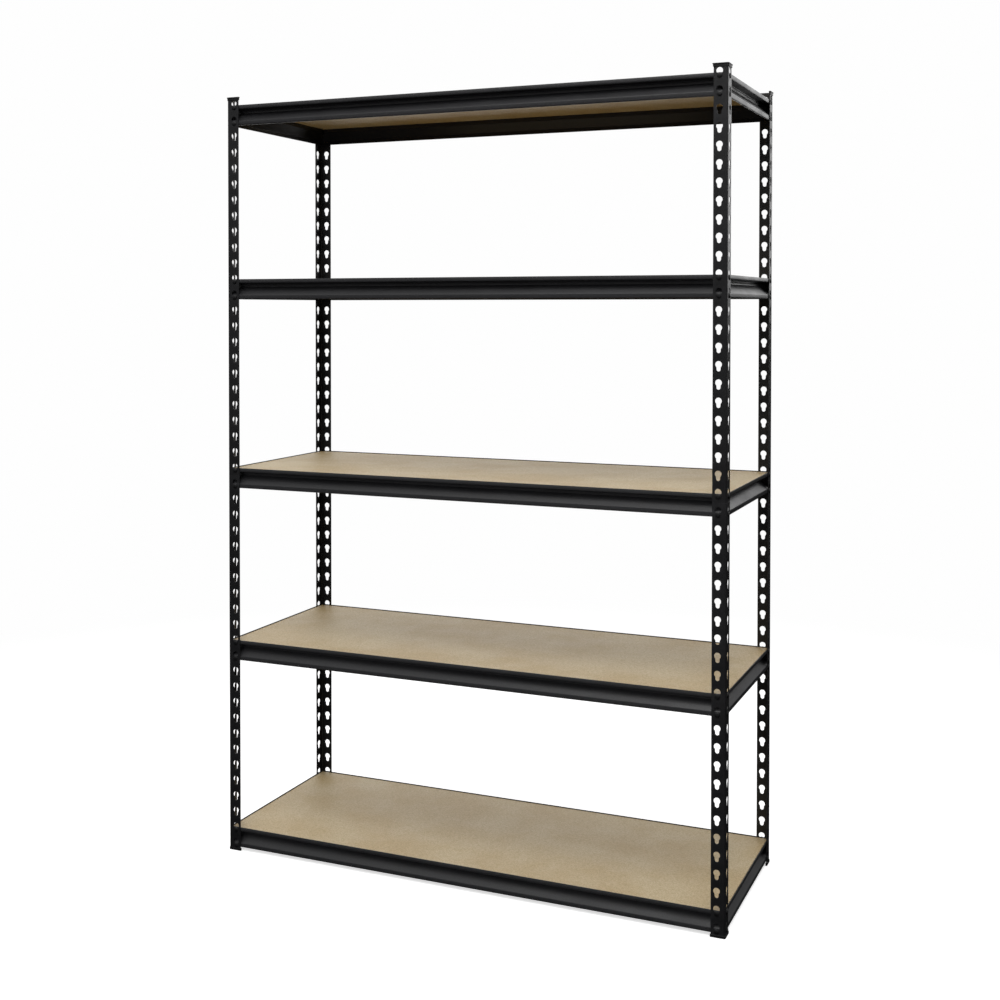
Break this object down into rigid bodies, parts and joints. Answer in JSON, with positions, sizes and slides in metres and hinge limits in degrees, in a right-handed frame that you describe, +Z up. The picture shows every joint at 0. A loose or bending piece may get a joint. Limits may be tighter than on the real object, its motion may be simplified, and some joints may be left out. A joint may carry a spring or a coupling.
{
  "type": "boltless steel shelving unit",
  "caption": "Free-standing boltless shelving: keyhole angle posts, riveted beams hooked into them and loose particle board shelves, with moulded caps and feet.",
  "frame": {"origin": "on the floor, under the middle of the unit", "axes": "+Z up, X along the long side, Y front to back with the front facing -Y"},
  "size_m": [1.2242, 0.4622, 1.8288],
  "materials": {
    "black_powder_coat": "semi-gloss black powder coat on steel sheet",
    "particle_board": "unfaced particle board, sanded, warm tan",
    "black_plastic": "moulded black plastic"
  },
  "bodies": {
    "posts": {"front_left_lower_post": "black_powder_coat", "front_right_lower_post": "black_powder_coat", "rear_right_lower_post": "black_powder_coat", "rear_left_lower_post": "black_powder_coat", "front_left_upper_post": "black_powder_coat", "front_right_upper_post": "black_powder_coat", "rear_right_upper_post": "black_powder_coat", "rear_left_upper_post": "black_powder_coat", "front_left_top_cap": "black_plastic", "front_right_top_cap": "black_plastic", "rear_right_top_cap": "black_plastic", "rear_left_top_cap": "black_plastic", "front_left_foot": "black_plastic", "front_right_foot": "black_plastic", "rear_right_foot": "black_plastic", "rear_left_foot": "black_plastic"},
    "shelf_1_frame": {"shelf_1_front_beam": "black_powder_coat", "shelf_1_right_beam": "black_powder_coat", "shelf_1_rear_beam": "black_powder_coat", "shelf_1_left_beam": "black_powder_coat"},
    "shelf_1_board": {"shelf_1_board": "particle_board"},
    "shelf_2_frame": {"shelf_2_front_beam": "black_powder_coat", "shelf_2_right_beam": "black_powder_coat", "shelf_2_rear_beam": "black_powder_coat", "shelf_2_left_beam": "black_powder_coat"},
    "shelf_2_board": {"shelf_2_board": "particle_board"},
    "shelf_3_frame": {"shelf_3_front_beam": "black_powder_coat", "shelf_3_right_beam": "black_powder_coat", "shelf_3_rear_beam": "black_powder_coat", "shelf_3_left_beam": "black_powder_coat"},
    "shelf_3_board": {"shelf_3_board": "particle_board"},
    "shelf_4_frame": {"shelf_4_front_beam": "black_powder_coat", "shelf_4_right_beam": "black_powder_coat", "shelf_4_rear_beam": "black_powder_coat", "shelf_4_left_beam": "black_powder_coat"},
    "shelf_4_board": {"shelf_4_board": "particle_board"},
    "shelf_5_frame": {"shelf_5_front_beam": "black_powder_coat", "shelf_5_right_beam": "black_powder_coat", "shelf_5_rear_beam": "black_powder_coat", "shelf_5_left_beam": "black_powder_coat"},
    "shelf_5_board": {"shelf_5_board": "particle_board"}
  },
  "joints": [
    {"name": "shelf_1_unhook", "type": "slide", "parent": "posts", "child": "shelf_1_frame", "axis": [0, 0, 1], "range_m": [0, 0.0093]},
    {"name": "shelf_1_board_lift", "type": "slide", "parent": "shelf_1_frame", "child": "shelf_1_board", "axis": [0, 0, 1], "range_m": [0, 0.3]},
    {"name": "shelf_2_unhook", "type": "slide", "parent": "posts", "child": "shelf_2_frame", "axis": [0, 0, 1], "range_m": [0, 0.0093]},
    {"name": "shelf_2_board_lift", "type": "slide", "parent": "shelf_2_frame", "child": "shelf_2_board", "axis": [0, 0, 1], "range_m": [0, 0.3]},
    {"name": "shelf_3_unhook", "type": "slide", "parent": "posts", "child": "shelf_3_frame", "axis": [0, 0, 1], "range_m": [0, 0.0093]},
    {"name": "shelf_3_board_lift", "type": "slide", "parent": "shelf_3_frame", "child": "shelf_3_board", "axis": [0, 0, 1], "range_m": [0, 0.3]},
    {"name": "shelf_4_unhook", "type": "slide", "parent": "posts", "child": "shelf_4_frame", "axis": [0, 0, 1], "range_m": [0, 0.0093]},
    {"name": "shelf_4_board_lift", "type": "slide", "parent": "shelf_4_frame", "child": "shelf_4_board", "axis": [0, 0, 1], "range_m": [0, 0.3]},
    {"name": "shelf_5_unhook", "type": "slide", "parent": "posts", "child": "shelf_5_frame", "axis": [0, 0, 1], "range_m": [0, 0.0093]},
    {"name": "shelf_5_board_lift", "type": "slide", "parent": "shelf_5_frame", "child": "shelf_5_board", "axis": [0, 0, 1], "range_m": [0, 0.3]}
  ]
}
